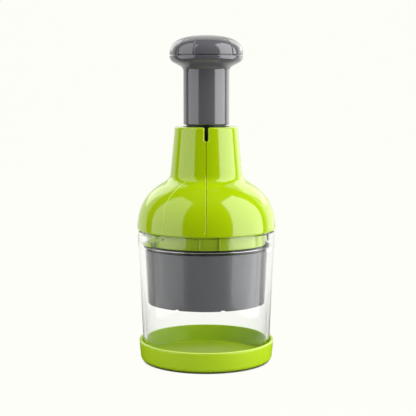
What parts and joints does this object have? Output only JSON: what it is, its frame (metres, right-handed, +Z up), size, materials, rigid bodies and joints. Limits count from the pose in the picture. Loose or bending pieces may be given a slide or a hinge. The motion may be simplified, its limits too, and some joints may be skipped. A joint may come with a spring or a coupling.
{
  "type": "plunger food chopper",
  "caption": "Press-down food chopper: sprung knob and stem over a hinged bell housing, clear container, zigzag blades in a cup, round tray.",
  "frame": {"origin": "on the table under the middle of the rubber foot", "axes": "+Z up along the plunger, +X to the right hinge, -Y to the front seam"},
  "size_m": [0.098, 0.098, 0.2318],
  "materials": {
    "green_plastic": "glossy lime green moulding",
    "grey_plastic": "smooth mid grey moulding with a soft gloss",
    "dark_plastic": "dark grey moulding",
    "clear_plastic": "clear polished plastic",
    "black_rubber": "black moulded rubber",
    "white_plastic": "natural white moulding",
    "steel": "stainless steel",
    "spring_steel": "drawn spring wire"
  },
  "bodies": {
    "tray": {"base_tray": "green_plastic", "foot_ring": "black_rubber"},
    "container": {"clear_container": "clear_plastic"},
    "ring": {"bayonet_ring": "green_plastic", "seal_ring": "black_rubber", "index_bush": "white_plastic", "hinge_pins": "steel", "return_spring": "spring_steel"},
    "right_half": {"housing_right": "green_plastic"},
    "left_half": {"housing_left": "green_plastic"},
    "plunger": {"knob_cap": "grey_plastic", "knob_stem": "grey_plastic", "plunger_sleeve": "dark_plastic", "spring_seat": "dark_plastic"},
    "blade_unit": {"twisted_rod": "steel", "swivel_washer": "steel", "swivel_screw": "steel", "blade_cup": "grey_plastic", "blade_carrier": "dark_plastic", "cross_pin": "steel", "blade_centre": "steel", "blade_rear": "steel", "blade_front": "steel", "carrier_screws": "steel", "stripper_springs": "spring_steel"},
    "stripper": {"stripper_plate": "dark_plastic", "stripper_caps": "white_plastic"}
  },
  "joints": [
    {"name": "container_lift", "type": "slide", "parent": "tray", "child": "container", "axis": [0, 0, 1], "range_m": [0, 0.03]},
    {"name": "bayonet_twist", "type": "hinge", "parent": "container", "child": "ring", "pos_m": [0, 0, 0.085], "axis": [0, 0, 1], "range_deg": [0, 36]},
    {"name": "right_half_open", "type": "hinge", "parent": "ring", "child": "right_half", "pos_m": [0.0466, 0, 0.0978], "axis": [0, 1, 0], "range_deg": [0, 85]},
    {"name": "left_half_open", "type": "hinge", "parent": "ring", "child": "left_half", "pos_m": [-0.0466, 0, 0.0978], "axis": [0, -1, 0], "range_deg": [0, 85]},
    {"name": "plunger_press", "type": "slide", "parent": "ring", "child": "plunger", "axis": [0, 0, -1], "range_m": [0, 0.0365], "stiffness_N_per_m": 300, "springref_m": -0.02, "deforming": ["return_spring"]},
    {"name": "blade_turn", "type": "hinge", "parent": "plunger", "child": "blade_unit", "pos_m": [0, 0, 0.085], "axis": [0, 0, 1], "range_deg": [0, 45.5]},
    {"name": "stripper_slide", "type": "slide", "parent": "blade_unit", "child": "stripper", "axis": [0, 0, 1], "range_m": [0, 0.008], "stiffness_N_per_m": 250, "springref_m": -0.004, "deforming": ["stripper_springs"]}
  ],
  "couplings": [
    {"joint": "blade_turn", "follows": "plunger_press", "rad_per_m": 21.517}
  ]
}
